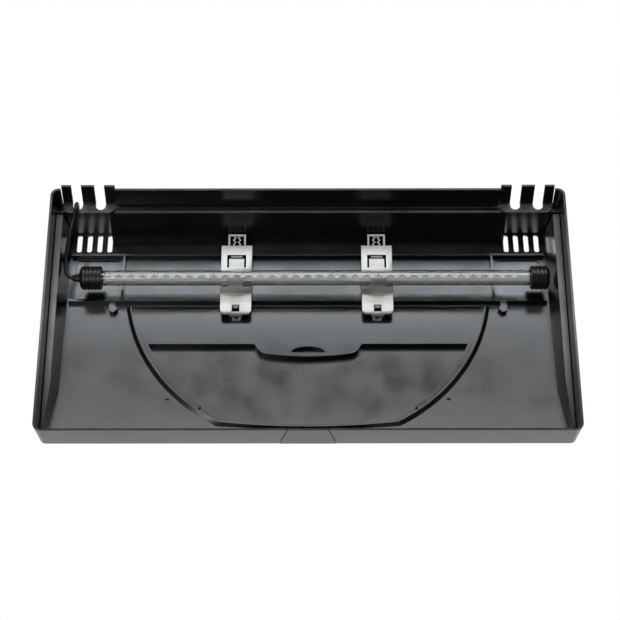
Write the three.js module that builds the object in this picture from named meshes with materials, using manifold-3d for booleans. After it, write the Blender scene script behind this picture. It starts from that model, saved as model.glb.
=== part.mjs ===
// Cover hood for a small rectangular aquarium, with a hinged feeding flap and a clip-mounted LED lamp.
// Millimetres, +Z up. The open underside faces down, the front is -Y and the rear is +Y.
import * as THREE from 'three';
import { mergeVertices } from 'three/addons/utils/BufferGeometryUtils.js';
import Module from 'manifold-3d';

const wasm = await Module();
wasm.setup();

// Hood shell
const hoodWidth = 610;
const hoodDepth = 310;
const wall = 2.6;
const cornerRadius = 9;
const edgeRadius = 5;
const frontHeight = 49.2;
const roofTilt = THREE.MathUtils.degToRad(6);
const sideDraft = THREE.MathUtils.degToRad(3);
const frontDraft = THREE.MathUtils.degToRad(3);
const rearDraft = THREE.MathUtils.degToRad(8);
const touchGap = 0.3;

// Rear step: the upper housing is set in from the skirt
const ledgeTop = 31;
const ledgeBottom = 28.4;
const grooveBottom = 25.8;
const cornerWallY = 141;
const cornerWallLean = THREE.MathUtils.degToRad(3);
const middleWallY = 140.3;
const middleWallLean = THREE.MathUtils.degToRad(17);
const middleHalf = 235.2;

// Cable combs in the rear corners
const combInnerX = 229.6;
const combOuterX = 293.2;
const combSlotX = [275.6, 248.2];
const combSlotWidth = 11.7;
const combSlotEndY = 140.6;
const combRimY = 160;
const combPlate = 2.7;
const combLean = THREE.MathUtils.degToRad(16.3);
const combCornerRadius = 9;
const combInnerY = 136.4;

// Vent slots, cross ribs and corner covers
const ventX = [278, 265.6, 253.2, 241];
const ventWidth = 6;
const ventRearY = 134;
const ventFrontY = 109;
const ribThickness = 3;
const ribHeight = 6;
const rearRibY = 101.5;
const frontRibY = 36.5;
const sideRibX = 221.5;
const coverX = 252.5;
const coverY = 67.5;
const coverHole = [54, 58];
const coverPlate = [61, 65];
const coverThickness = 2.4;

// Side rails that sit on the tank's side panes
const railBottom = 26;
const railRearY = 134.5;
const railTaperY = -85;
const railFrontY = -141;
const railSheet = 2.2;
const railOuterX = 300.3;
const railLedgeX = 292.8;
const railRoofX = 287.2;

// Flap
const flapSheet = 2.4;
const flapLap = 5;
const arcCentreY = 60;
const arcRadius = 211.8;
const openingRearY = 30.5;
const openingFrontAngle = THREE.MathUtils.degToRad(-61.2);
const openingFrontBowY = -136.5;
const ribFoot = 6;
const ribCrest = 1.4;
const ribDrop = 3.4;
const flapRearY = 33;
const hingeY = 33;
const hingeLift = 4.2;
const hingeLimitX = 213.2;
const panDepth = 8;
const panInset = 7.8;
const panRearY = -19;
const tongueY = -31;
const panFrontAngle = THREE.MathUtils.degToRad(-62.6);
const panFrontY = -128;
const bumperAngle = THREE.MathUtils.degToRad(-51.3);
const tabTopHalf = 33;
const tabRimHalf = 22.3;
const tabGap = 1.3;

// Lamp
const lampY = 57.5;
const lampZ = 43;
const tubeRadius = 9;
const tubeBore = 7.8;
const tubeLeft = 258;
const tubeRight = -277;
const capRadius = 14.2;
const leftCapX = [243.8, 269.8];
const rightCapX = [-263, -285.4];

// Clips
const sides = { left: 1, right: -1 };
const clipX = { left: 85.6, right: -82.4 };
const clipWidth = 36.7;
const clipSheet = 1.6;

// Lamp cable
const cableRadius = 2.3;
const coilCentre = [165, 80];
const bootEnd = 279;
const coilMeanRadius = 27;
const coilHalfWidth = 7.2;
const coilHeight = 14.4;

const hood = new THREE.Group();

// ---------- helpers ----------

const blackPlastic = () => new THREE.MeshStandardMaterial({ color: 0x15171b, roughness: 0.28, metalness: 0 });
const blackRubber = () => new THREE.MeshStandardMaterial({ color: 0x0d0d0e, roughness: 0.6, metalness: 0 });
const clearTube = () => new THREE.MeshStandardMaterial({ color: 0xdfe3e3, roughness: 0.08, metalness: 0 });
const brightSteel = () => new THREE.MeshStandardMaterial({ color: 0xd9dadb, roughness: 0.25, metalness: 0.9 });

function roofTop(y) {
  return frontHeight + (y + hoodDepth / 2) * Math.tan(roofTilt);
}

function alongRoof(y) {
  return (y + hoodDepth / 2) / Math.cos(roofTilt);
}

// Roof frame: x across, y up the slope from the front edge, z out of the roof's top face
const roofFrame = new THREE.Matrix4()
  .makeTranslation(0, -hoodDepth / 2, frontHeight)
  .multiply(new THREE.Matrix4().makeRotationX(roofTilt));

function onRoof(geometry) {
  return geometry.applyMatrix4(roofFrame);
}

function toSolid(geometry) {
  const bare = geometry.clone();
  bare.deleteAttribute('normal');
  bare.deleteAttribute('uv');
  const merged = mergeVertices(bare, 1e-4);
  const mesh = new wasm.Mesh({
    numProp: 3,
    vertProperties: new Float32Array(merged.attributes.position.array),
    triVerts: new Uint32Array(merged.index.array),
  });
  return new wasm.Manifold(mesh);
}

function toGeometry(solid) {
  const mesh = solid.getMesh();
  const geometry = new THREE.BufferGeometry();
  geometry.setAttribute('position', new THREE.BufferAttribute(new Float32Array(mesh.vertProperties), 3));
  geometry.setIndex(new THREE.BufferAttribute(new Uint32Array(mesh.triVerts), 1));
  geometry.computeVertexNormals();
  return geometry;
}

function join(...geometries) {
  return geometries.map(toSolid).reduce((sum, solid) => sum.add(solid));
}

function addPiece(name, geometry, material) {
  const mesh = new THREE.Mesh(geometry, material);
  mesh.name = name;
  hood.add(mesh);
  return mesh;
}

function box(x0, x1, y0, y1, z0, z1) {
  const size = [Math.abs(x1 - x0), Math.abs(y1 - y0), Math.abs(z1 - z0)];
  return new THREE.BoxGeometry(...size).translate((x0 + x1) / 2, (y0 + y1) / 2, (z0 + z1) / 2);
}

function shapeOf(points) {
  return new THREE.Shape(points.map(([x, y]) => new THREE.Vector2(x, y)));
}

function roundedRect(cx, cy, width, height, radius) {
  const shape = new THREE.Shape();
  const x = width / 2 - radius;
  const y = height / 2 - radius;
  shape.absarc(cx + x, cy + y, radius, 0, Math.PI / 2);
  shape.absarc(cx - x, cy + y, radius, Math.PI / 2, Math.PI);
  shape.absarc(cx - x, cy - y, radius, Math.PI, 1.5 * Math.PI);
  shape.absarc(cx + x, cy - y, radius, 1.5 * Math.PI, 2 * Math.PI);
  return shape;
}

function slab(shape, z0, z1, segments = 5) {
  const options = { depth: z1 - z0, bevelEnabled: false, curveSegments: segments };
  return new THREE.ExtrudeGeometry(shape, options).translate(0, 0, z0);
}

// A profile drawn in the YZ plane, run along X
function profileAlongX(shape, x0, x1, segments = 5) {
  const options = { depth: x1 - x0, bevelEnabled: false, curveSegments: segments };
  const turn = new THREE.Matrix4().makeBasis(
    new THREE.Vector3(0, 1, 0),
    new THREE.Vector3(0, 0, 1),
    new THREE.Vector3(1, 0, 0),
  );
  return new THREE.ExtrudeGeometry(shape, options).applyMatrix4(turn).translate(x0, 0, 0);
}

// A strip of even thickness along a path in the YZ plane, run along X
function sheetAlongX(path, thickness, x0, x1) {
  const points = path.map(([y, z]) => new THREE.Vector2(y, z));
  const normals = points.map((point, i) => {
    const before = points[Math.max(i - 1, 0)];
    const after = points[Math.min(i + 1, points.length - 1)];
    const along = after.clone().sub(before).normalize();
    return new THREE.Vector2(-along.y, along.x);
  });
  const upper = points.map((p, i) => p.clone().addScaledVector(normals[i], thickness / 2));
  const lower = points.map((p, i) => p.clone().addScaledVector(normals[i], -thickness / 2));
  return profileAlongX(new THREE.Shape([...lower, ...upper.reverse()]), x0, x1);
}

// Skins a stack of equal rings and closes both ends with fans from the ring's hub point
function loft(rings, hub = 0) {
  const count = rings[0].length;
  const position = rings.flat().flatMap((p) => [p.x, p.y, p.z]);
  const index = [];
  for (let k = 0; k + 1 < rings.length; k += 1) {
    for (let i = 0; i < count; i += 1) {
      const j = (i + 1) % count;
      const [a, b] = [k * count + i, k * count + j];
      index.push(a, b, b + count, a, b + count, a + count);
    }
  }
  const last = (rings.length - 1) * count;
  for (let i = 1; i + 1 < count; i += 1) {
    const [b, c] = [(hub + i) % count, (hub + i + 1) % count];
    index.push(hub, c, b, last + hub, last + b, last + c);
  }
  const geometry = new THREE.BufferGeometry();
  geometry.setAttribute('position', new THREE.Float32BufferAttribute(position, 3));
  geometry.setIndex(index);
  geometry.computeVertexNormals();
  return geometry;
}

function cylinderAlongX(radius, x0, x1, y, z, sides) {
  const geometry = new THREE.CylinderGeometry(radius, radius, Math.abs(x1 - x0), sides);
  return geometry.rotateZ(Math.PI / 2).translate((x0 + x1) / 2, y, z);
}

// A turned profile of [distance along X, radius] pairs about the lamp's axis
function turnedOnLamp(profile, sides) {
  const points = profile.map(([x, radius]) => new THREE.Vector2(radius, x));
  return new THREE.LatheGeometry(points, sides).rotateZ(-Math.PI / 2).translate(0, lampY, lampZ);
}

// ---------- hood shell ----------

// One ring round the hood, moved in by inset, at the height that the level function gives
function hoodRing(inset, level) {
  const ring = [];
  const steps = 5;
  for (let corner = 0; corner < 4; corner += 1) {
    for (let i = 0; i <= steps; i += 1) {
      const angle = (corner + i / steps) * (Math.PI / 2);
      const nx = Math.cos(angle);
      const ny = Math.sin(angle);
      const signX = corner === 0 || corner === 3 ? 1 : -1;
      const signY = corner < 2 ? 1 : -1;
      const baseX = signX * (hoodWidth / 2 - cornerRadius) + cornerRadius * nx;
      const baseY = signY * (hoodDepth / 2 - cornerRadius) + cornerRadius * ny;
      const lean = signY > 0 ? Math.tan(rearDraft) : Math.tan(frontDraft);
      let z = level(baseY);
      let y = baseY;
      for (let pass = 0; pass < 5; pass += 1) {
        y = baseY - ny * (inset + lean * z);
        z = level(y);
      }
      ring.push(new THREE.Vector3(baseX - nx * (inset + Math.tan(sideDraft) * z), y, z));
    }
  }
  return ring;
}

function hoodBody(inset, bottom, topOffset, radius) {
  const soft = 1 - Math.SQRT1_2;
  return loft([
    hoodRing(inset, () => bottom),
    hoodRing(inset, (y) => roofTop(y) - topOffset - radius),
    hoodRing(inset + radius * soft, (y) => roofTop(y) - topOffset - radius * soft),
    hoodRing(inset + radius, (y) => roofTop(y) - topOffset),
  ]);
}

// The space behind the upper housing, in profile
function rearNotch(wallY, lean, bottom, offset, half) {
  const top = 120;
  const far = 200;
  const points = [
    [wallY - offset, bottom],
    [far, bottom],
    [far, top],
    [wallY - offset - (top - bottom) * Math.tan(lean), top],
  ];
  return profileAlongX(shapeOf(points), -half, half);
}

function flapOpening(grow, rearY, bowY) {
  const radius = arcRadius + grow;
  const centre = alongRoof(arcCentreY);
  const rear = alongRoof(rearY);
  const rearAngle = Math.asin((rear - centre) / radius);
  const frontX = radius * Math.cos(openingFrontAngle);
  const frontY = centre + radius * Math.sin(openingFrontAngle);
  const shape = new THREE.Shape();
  shape.absarc(0, centre, radius, rearAngle, openingFrontAngle, true);
  shape.quadraticCurveTo(0, alongRoof(bowY), -frontX, frontY);
  shape.absarc(0, centre, radius, -Math.PI - openingFrontAngle, -Math.PI - rearAngle, true);
  return shape;
}

// The tab's wedge seen from the front, as a prism through the front wall
function tabWedge(grow, y0, y1) {
  const bottom = -2;
  const top = frontHeight + 6;
  const slope = (tabTopHalf - tabRimHalf) / frontHeight;
  const half = (z) => tabRimHalf + grow + slope * z;
  const ring = (y) => [
    new THREE.Vector3(half(bottom), y, bottom),
    new THREE.Vector3(-half(bottom), y, bottom),
    new THREE.Vector3(-half(top), y, top),
    new THREE.Vector3(half(top), y, top),
  ];
  return loft([ring(y0), ring(y1)]);
}

// The tab and the neck that joins it to the flap, in profile: the outer face follows the hood's rounded edge
function tabProfile() {
  const face = (z) => -hoodDepth / 2 + z * Math.tan(frontDraft);
  const turnZ = frontHeight - edgeRadius;
  const shape = new THREE.Shape();
  shape.moveTo(face(0), 0);
  shape.lineTo(face(turnZ), turnZ);
  shape.absarc(face(turnZ) + edgeRadius, turnZ, edgeRadius, Math.PI, 0.62 * Math.PI, true);
  const rise = touchGap + flapSheet;
  shape.lineTo(-146.6, roofTop(-146.6) + rise - 0.2);
  shape.lineTo(-128, roofTop(-128) + rise - 0.02);
  shape.lineTo(-128, roofTop(-128) + touchGap + 0.02);
  shape.lineTo(-146.4, roofTop(-146.4) + touchGap + 0.02);
  shape.lineTo(-146.4, frontHeight - wall);
  shape.lineTo(face(turnZ) + wall + 1, frontHeight - wall - 1);
  shape.lineTo(face(0) + wall, 0);
  return shape;
}

// Outline across the roof of one hinge bearing: a foot that rises to a round head on the hinge axis
function bearingProfile(foot0, foot1, footZ, headRadius) {
  const axis = alongRoof(hingeY);
  const shape = new THREE.Shape();
  shape.moveTo(axis + foot0, footZ);
  shape.lineTo(axis + foot1, footZ);
  shape.absarc(axis, hingeLift, headRadius, 0, Math.PI);
  const hole = new THREE.Path();
  hole.absarc(axis, hingeLift, 1.8, 0, 2 * Math.PI, true);
  shape.holes.push(hole);
  return shape;
}

function makeShell() {
  const outer = toSolid(hoodBody(0, 0, 0, edgeRadius))
    .subtract(toSolid(rearNotch(cornerWallY, cornerWallLean, ledgeTop, 0, hoodWidth)))
    .subtract(toSolid(rearNotch(middleWallY, middleWallLean, ledgeTop, 0, middleHalf)));
  const inner = toSolid(hoodBody(wall, -1, wall, edgeRadius - wall))
    .subtract(toSolid(rearNotch(cornerWallY, cornerWallLean, ledgeBottom, wall, hoodWidth)))
    .subtract(toSolid(rearNotch(middleWallY, middleWallLean, ledgeBottom, wall, middleHalf + wall)))
    .subtract(toSolid(box(-middleHalf - wall, middleHalf + wall, 142.4, 200, grooveBottom, 60)));
  let shell = outer.subtract(inner).add(makeOpeningRib());
  shell = shell.subtract(toSolid(onRoof(slab(flapOpening(0, openingRearY, openingFrontBowY), -20, 8, 16))));
  shell = shell
    .subtract(toSolid(tabWedge(tabGap, -160, -151.6 + 2)).subtract(toSolid(box(-60, 60, -160, -100, 60, 80))))
    .subtract(toSolid(tabWedge(tabGap, -160, -145.8)).intersect(toSolid(box(-60, 60, -160, -140, 43, 60))));
  for (const side of [1, -1]) {
    const combEnds = [side * (combInnerX - 0.4), side * (combOuterX + 0.4)];
    shell = shell.subtract(toSolid(box(...combEnds, 139, 175, -1, ledgeBottom)));
    shell = shell.subtract(toSolid(box(side * 241, side * 284.7, 140.1, 175, -1, ledgeTop + 1)));
    for (const x of ventX) {
      const slot = roundedRect(side * x, alongRoof((ventRearY + ventFrontY) / 2), ventWidth, ventRearY - ventFrontY, 2.4);
      shell = shell.subtract(toSolid(onRoof(slab(slot, -8, 8, 3))));
    }
    const hatch = roundedRect(side * coverX, alongRoof(coverY), coverHole[0], coverHole[1], 5);
    shell = shell.subtract(toSolid(onRoof(slab(hatch, -8, 8, 4))));
  }
  return shell.add(makeRibs()).add(makeBearings());
}

// Stock for a low wall round the flap's opening, under the roof, sloped outside: the opening is cut through it
function makeOpeningRib() {
  const ring = (grow, z) => flapOpening(grow, openingRearY, openingFrontBowY - 1.5)
    .getPoints(16)
    .reverse()
    .map((p) => new THREE.Vector3(p.x, p.y, z));
  const body = [ring(ribCrest, -wall - ribDrop), ring(ribFoot, -wall + 0.04), ring(ribFoot, -wall + 0.5)];
  const rib = toSolid(loft(body))
    .subtract(toSolid(box(-260, 260, alongRoof(openingRearY) - 1.1, 400, -20, 8)));
  return toSolid(onRoof(toGeometry(rib)));
}

// Ribs, clip posts, cable hooks and stop bumps under the roof
function makeRibs() {
  const under = -wall - ribHeight;
  const bite = -wall + 0.6;
  const pieces = [];
  for (const y of [rearRibY, frontRibY]) {
    const v = alongRoof(y);
    pieces.push(box(-285, 285, v - ribThickness / 2, v + ribThickness / 2, under, bite));
  }
  for (const side of [1, -1]) {
    const x = side * sideRibX;
    pieces.push(box(x - 1.3, x + 1.3, alongRoof(frontRibY), alongRoof(rearRibY), under, bite));
    pieces.push(cableHook(side));
    pieces.push(box(side * 159.5, side * 164, alongRoof(-95), alongRoof(-90.5), -wall - 2.2, bite));
  }
  for (const x of Object.values(clipX)) {
    pieces.push(box(x - 7, x + 7, alongRoof(90.6), alongRoof(93.2), -wall - 15, bite));
    pieces.push(box(x - 3.2, x + 3.2, alongRoof(22.9), alongRoof(frontRibY), -wall - 5.6, -wall - 2.4));
    pieces.push(box(x - 3.2, x + 3.2, alongRoof(22.9), alongRoof(26.9), -wall - 9.4, -wall - 2.4));
  }
  return join(...pieces.map(onRoof));
}

function cableHook(side) {
  const v = alongRoof(frontRibY);
  const outline = [
    [228.4, v], [228.4, v - 9], [225.4, v - 11.5], [230, v - 17], [235.6, v - 15], [236.4, v],
  ];
  const shape = shapeOf(outline.map(([x, y]) => [side * x, y]));
  return slab(shape, -wall - ribHeight, -wall + 0.6);
}

function makeBearings() {
  const profile = bearingProfile(-4.3, 6, -1, 4);
  return join(...[1, -1].map((side) => {
    const ends = [side * (hingeLimitX - 6), side * hingeLimitX].sort((a, b) => a - b);
    return onRoof(profileAlongX(profile, ends[0], ends[1], 6));
  }));
}

addPiece('hood_shell', toGeometry(makeShell()), blackPlastic());

// ---------- cable combs ----------

function makeComb(side) {
  const lean = Math.tan(combLean);
  const top = ledgeBottom - touchGap;
  const under = top - wall;
  const outerAt = (z) => combRimY - z * lean;
  const profile = shapeOf([
    [outerAt(0) - combPlate, 0],
    [outerAt(0), 0],
    [outerAt(top), top],
    [combInnerY, top],
    [combInnerY, under],
    [outerAt(under) - combPlate, under],
  ]);
  const ends = [side * combInnerX, side * combOuterX].sort((a, b) => a - b);
  const middle = (combInnerX + combOuterX) / 2;
  const outline = roundedRect(side * middle, combInnerY + 25, combOuterX - combInnerX, 50, combCornerRadius);
  let comb = toSolid(profileAlongX(profile, ends[0], ends[1]));
  comb = comb.intersect(toSolid(slab(outline, -1, 40, 5)));
  for (const x of combSlotX) {
    const length = 60;
    const slot = roundedRect(side * x, combSlotEndY + length / 2, combSlotWidth, length, combSlotWidth / 2 - 0.01);
    comb = comb.subtract(toSolid(slab(slot, -1, 40, 6)));
  }
  return toGeometry(comb);
}

addPiece('cable_comb_left', makeComb(1), blackPlastic());
addPiece('cable_comb_right', makeComb(-1), blackPlastic());

// ---------- corner covers ----------

function makeCover(side) {
  const y = alongRoof(coverY);
  const plate = roundedRect(side * coverX, y, coverPlate[0], coverPlate[1], 7);
  const plug = roundedRect(side * coverX, y, coverHole[0] - 0.8, coverHole[1] - 0.8, 4.6);
  const cover = join(slab(plate, touchGap, touchGap + coverThickness), slab(plug, -1.3, touchGap + 0.5));
  return onRoof(toGeometry(cover));
}

addPiece('corner_cover_left', makeCover(1), blackPlastic());
addPiece('corner_cover_right', makeCover(-1), blackPlastic());

// ---------- side rails ----------

function makeRail(side) {
  const section = (y, fade) => {
    const roof = roofTop(y) - wall / Math.cos(roofTilt) - touchGap;
    const outer = railOuterX - railSheet - 0.4;
    const ledge = THREE.MathUtils.lerp(railLedgeX, outer, fade);
    const top = THREE.MathUtils.lerp(railRoofX, outer - 1.6, fade);
    const points = [
      [railOuterX, railBottom],
      [ledge, railBottom],
      [top, roof],
      [top + railSheet, roof],
      [ledge + railSheet, railBottom + railSheet],
      [railOuterX, railBottom + railSheet],
    ];
    const ring = points.map(([x, z]) => new THREE.Vector3(side * x, y, z));
    return side > 0 ? ring : ring.reverse();
  };
  const bend = side > 0 ? 1 : 4;
  return loft([section(railFrontY, 1), section(railTaperY, 0), section(railRearY, 0)], bend);
}

addPiece('side_rail_left', makeRail(1), blackPlastic());
addPiece('side_rail_right', makeRail(-1), blackPlastic());

// ---------- flap ----------

// The raised pan in the flap's front half, moved out by grow
function panOutline(grow) {
  const radius = arcRadius - panInset + grow;
  const centre = alongRoof(arcCentreY);
  const rear = alongRoof(panRearY) + grow;
  const tongue = alongRoof(tongueY) + grow;
  const rearAngle = Math.asin((rear - centre) / radius);
  const frontX = radius * Math.cos(panFrontAngle);
  const frontY = centre + radius * Math.sin(panFrontAngle);
  const shoulder = 63 - grow;
  const shape = new THREE.Shape();
  shape.absarc(0, centre, radius, rearAngle, panFrontAngle, true);
  shape.quadraticCurveTo(0, alongRoof(panFrontY) - grow, -frontX, frontY);
  shape.absarc(0, centre, radius, -Math.PI - panFrontAngle, -Math.PI - rearAngle, true);
  shape.lineTo(-shoulder, rear);
  shape.bezierCurveTo(-shoulder + 4, rear - 7, -shoulder + 6, tongue, -shoulder + 13, tongue - 1);
  shape.quadraticCurveTo(0, alongRoof(-40) + grow, shoulder - 13, tongue - 1);
  shape.bezierCurveTo(shoulder - 6, tongue, shoulder - 4, rear - 7, shoulder, rear);
  return shape;
}

function fingerScoop(grow) {
  const shape = new THREE.Shape();
  shape.absellipse(0, alongRoof(-30.6) - grow, 20 + grow, 8.2 + 2 * grow, 0, Math.PI);
  return shape;
}

// A hinge knuckle of the flap: a round head on the axis and an arm down to the flap's plate
function knuckleProfile() {
  const axis = alongRoof(hingeY);
  const head = hingeLift - touchGap - 0.3;
  const shape = new THREE.Shape();
  shape.moveTo(axis - 13, hingeLift - head);
  shape.lineTo(axis, hingeLift - head);
  shape.absarc(axis, hingeLift, head, -Math.PI / 2, (2 * Math.PI) / 3);
  shape.lineTo(axis - 13, touchGap + flapSheet);
  const hole = new THREE.Path();
  hole.absarc(axis, hingeLift, 1.8, 0, 2 * Math.PI, true);
  shape.holes.push(hole);
  return shape;
}

function makeFlap() {
  const top = touchGap + flapSheet;
  const scoopDepth = panDepth - 1.5;
  let flap = toSolid(slab(flapOpening(flapLap, flapRearY, openingFrontBowY - flapLap), touchGap, top, 14));
  flap = flap.add(toSolid(slab(panOutline(flapSheet), touchGap, top + panDepth, 12)));
  flap = flap.add(toSolid(slab(fingerScoop(2), touchGap, top + scoopDepth, 8)));
  flap = flap.subtract(toSolid(slab(panOutline(0), -1, touchGap + panDepth, 12)));
  flap = flap.subtract(toSolid(slab(fingerScoop(0), -1, touchGap + scoopDepth, 8)));
  const axis = alongRoof(hingeY);
  for (const side of [1, -1]) {
    const notch = box(side * (hingeLimitX - 6.8), side * (hingeLimitX + 9), axis - 4.8, axis + 9, -1, 9);
    flap = flap.subtract(toSolid(notch));
    const ends = [side * (hingeLimitX - 17), side * (hingeLimitX - 7)].sort((a, b) => a - b);
    flap = flap.add(toSolid(profileAlongX(knuckleProfile(), ends[0], ends[1], 6)));
  }
  flap = toSolid(onRoof(toGeometry(flap)));
  const tab = toSolid(profileAlongX(tabProfile(), -50, 50)).intersect(toSolid(tabWedge(0, -160, -120)));
  return flap.add(tab);
}

addPiece('flap', toGeometry(makeFlap()), blackPlastic());

for (const [name, side] of Object.entries(sides)) {
  const pin = cylinderAlongX(
    1.5, side * (hingeLimitX - 16.5), side * (hingeLimitX + 0.6), alongRoof(hingeY), hingeLift, 10,
  );
  addPiece(`hinge_pin_${name}`, onRoof(pin), brightSteel());
}

function makeBumper(side) {
  const angle = side > 0 ? bumperAngle : Math.PI - bumperAngle;
  const radius = arcRadius - 3.5;
  const bumper = new THREE.BoxGeometry(5.4, 14, 3.2).rotateZ(angle);
  return bumper.translate(radius * Math.cos(angle), alongRoof(arcCentreY) + radius * Math.sin(angle), -1.6);
}

addPiece('flap_bumper_left', onRoof(makeBumper(1)), blackRubber());
addPiece('flap_bumper_right', onRoof(makeBumper(-1)), blackRubber());

// ---------- lamp ----------

const tubeProfile = [
  [tubeRight, tubeBore],
  [tubeRight, tubeRadius],
  [tubeLeft, tubeRadius],
  [tubeLeft, tubeBore],
  [tubeRight, tubeBore],
];
addPiece('lamp_tube', turnedOnLamp(tubeProfile, 20), clearTube());

// A ribbed cap: open towards the tube, closed and domed at its outer end
function makeCap(side, inner, outer, tubeEnd, ribs) {
  const bore = tubeRadius + 0.3;
  const floor = tubeEnd + side * 0.4;
  const dome = outer - side * 4;
  const pitch = (dome - inner) / ribs;
  const profile = [[floor, 0], [floor, bore], [inner, bore]];
  for (let i = 0; i < ribs; i += 1) {
    const start = inner + i * pitch;
    profile.push([start, capRadius - 1.1], [start + pitch * 0.28, capRadius - 1.1]);
    profile.push([start + pitch * 0.36, capRadius], [start + pitch * 0.92, capRadius]);
  }
  profile.push([dome, capRadius - 0.6], [outer - side * 1.6, capRadius - 2.6]);
  profile.push([outer, capRadius - 6], [outer, 0]);
  const ordered = side > 0 ? profile : profile.reverse();
  return turnedOnLamp(ordered, 24);
}

addPiece('end_cap_left', makeCap(1, leftCapX[0], leftCapX[1], tubeLeft, 5), blackRubber());
addPiece('end_cap_right', makeCap(-1, rightCapX[0], rightCapX[1], tubeRight, 4), blackRubber());

const strip = box(-262, 240, lampY - 5.5, lampY + 4.7, lampZ - 2.9, lampZ - 1.7);
addPiece('led_board', strip, new THREE.MeshStandardMaterial({ color: 0x8a8b8b, roughness: 0.5, metalness: 0 }));

const carrier = profileAlongX(shapeOf([
  [lampY - 6, lampZ - 1.4],
  [lampY + 4.9, lampZ - 1.4],
  [lampY + 4.9, lampZ - 4.4],
  [lampY + 6, lampZ - 4.4],
  [lampY + 6, lampZ - 0.2],
  [lampY - 6, lampZ - 0.2],
]), -262, 240);
addPiece('board_carrier', carrier, new THREE.MeshStandardMaterial({ color: 0xf2f2ef, roughness: 0.5, metalness: 0 }));

// A round cord or wire along a smooth curve through its points
function cordAlong(points, radius, sides, steps) {
  const curve = new THREE.CatmullRomCurve3(points.map((p) => new THREE.Vector3(...p)), false, 'centripetal');
  const section = new THREE.Shape();
  for (let i = 0; i < sides; i += 1) {
    const angle = (i / sides) * 2 * Math.PI;
    if (i === 0) section.moveTo(radius, 0);
    else section.lineTo(radius * Math.cos(angle), radius * Math.sin(angle));
  }
  return new THREE.ExtrudeGeometry(section, { steps, bevelEnabled: false, extrudePath: curve });
}

const redWire = [[240.5, 54.2, 40.9], [246, 52.9, 40.2], [252, 54.2, 42], [257.4, 56, 43]];
const yellowWire = [[240.5, 59.6, 40.9], [246, 61, 40.3], [252, 60.2, 42], [257.4, 58.8, 43]];
const wireColour = (color) => new THREE.MeshStandardMaterial({ color, roughness: 0.5, metalness: 0 });
addPiece('lead_wire_yellow', cordAlong(yellowWire, 0.7, 6, 8), wireColour(0xd9b52a));
addPiece('lead_wire_red', cordAlong(redWire, 0.7, 6, 8), wireColour(0xb0271f));

const bootProfile = [
  [leftCapX[1] + 0.3, cableRadius + 0.3],
  [bootEnd, cableRadius + 0.3],
  [bootEnd, cableRadius + 1],
  [leftCapX[1] + 3.5, cableRadius + 2.4],
  [leftCapX[1] + 0.3, cableRadius + 3],
  [leftCapX[1] + 0.3, cableRadius + 0.3],
];
addPiece('cable_boot', turnedOnLamp(bootProfile.reverse(), 14), blackRubber());

// ---------- clips ----------

function makeClipBase(x) {
  const half = clipWidth / 2;
  const path = [[110, 60.2], [77, 58], [70.5, 54.4], [49, 54.4]];
  let base = toSolid(sheetAlongX(path.reverse(), clipSheet, x - half, x + half));
  base = base.subtract(toSolid(box(x - 11.4, x + 11.4, 79, 97, 50, 66)));
  base = base.add(toSolid(sheetAlongX([[78, 58.1], [84, 57.6], [90.4, 57.2]], 1.2, x - 9, x + 9)));
  for (const side of [1, -1]) {
    base = base.add(toSolid(box(x + side * 8.4, x + side * 10.5, 108.6, 125, 59.4, 61)));
    base = base.add(toSolid(slab(zigzagLeg(x, side), 59.4, 61)));
  }
  base = base.add(toSolid(box(x - 10.5, x + 10.5, 123.4, 125.6, 59.4, 61)));
  return toGeometry(base);
}

function zigzagLeg(x, side) {
  const points = [];
  for (let i = 0; i <= 5; i += 1) points.push([x + side * (3.6 + (i % 2 ? 1.4 : -1.4)), 109 + i * 3]);
  const back = points.map(([px, py]) => [px - side * 1.3, py]).reverse();
  return shapeOf([...points, ...back]);
}

function makeClipLatch(x) {
  const half = clipWidth / 2;
  const plate = [[16.6, 62.4], [16.6, 59], [18, 57.4], [20.4, 57], [41.6, 57], [44.2, 56], [46.3, 52.6], [47, 47]];
  const hook = [[46.9, 48.4], [46.9, 41.4], [48.5, 37.2], [51.4, 34.4]];
  let latch = toSolid(sheetAlongX(plate, clipSheet, x - half, x + half));
  latch = latch.intersect(toSolid(slab(roundedRect(x, 15.6 + 40, clipWidth, 80, 7.5), 40, 70, 4)));
  for (const side of [1, -1]) {
    latch = latch.subtract(toSolid(box(x + side * 7.6, x + side * 20, 14, 17.8, 57.9, 70)));
  }
  latch = latch.subtract(toSolid(box(x - 4.5, x + 4.5, 19.8, 29, 50, 60)));
  latch = latch.add(toSolid(sheetAlongX(hook, clipSheet, x - 9.5, x + 9.5)));
  const ridgeZ = [55.2, 56.6];
  for (const side of [1, -1]) {
    latch = latch.add(toSolid(box(x + side * 6.2, x + side * 7.8, 18.8, 40, ...ridgeZ)));
  }
  latch = latch.add(toSolid(box(x - 7.8, x + 7.8, 38.6, 40, ...ridgeZ)));
  return toGeometry(latch);
}

for (const [name, x] of Object.entries(clipX)) {
  addPiece(`clip_base_${name}`, makeClipBase(x), brightSteel());
  addPiece(`clip_latch_${name}`, makeClipLatch(x), brightSteel());
}

// ---------- the lamp's lead ----------

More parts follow.
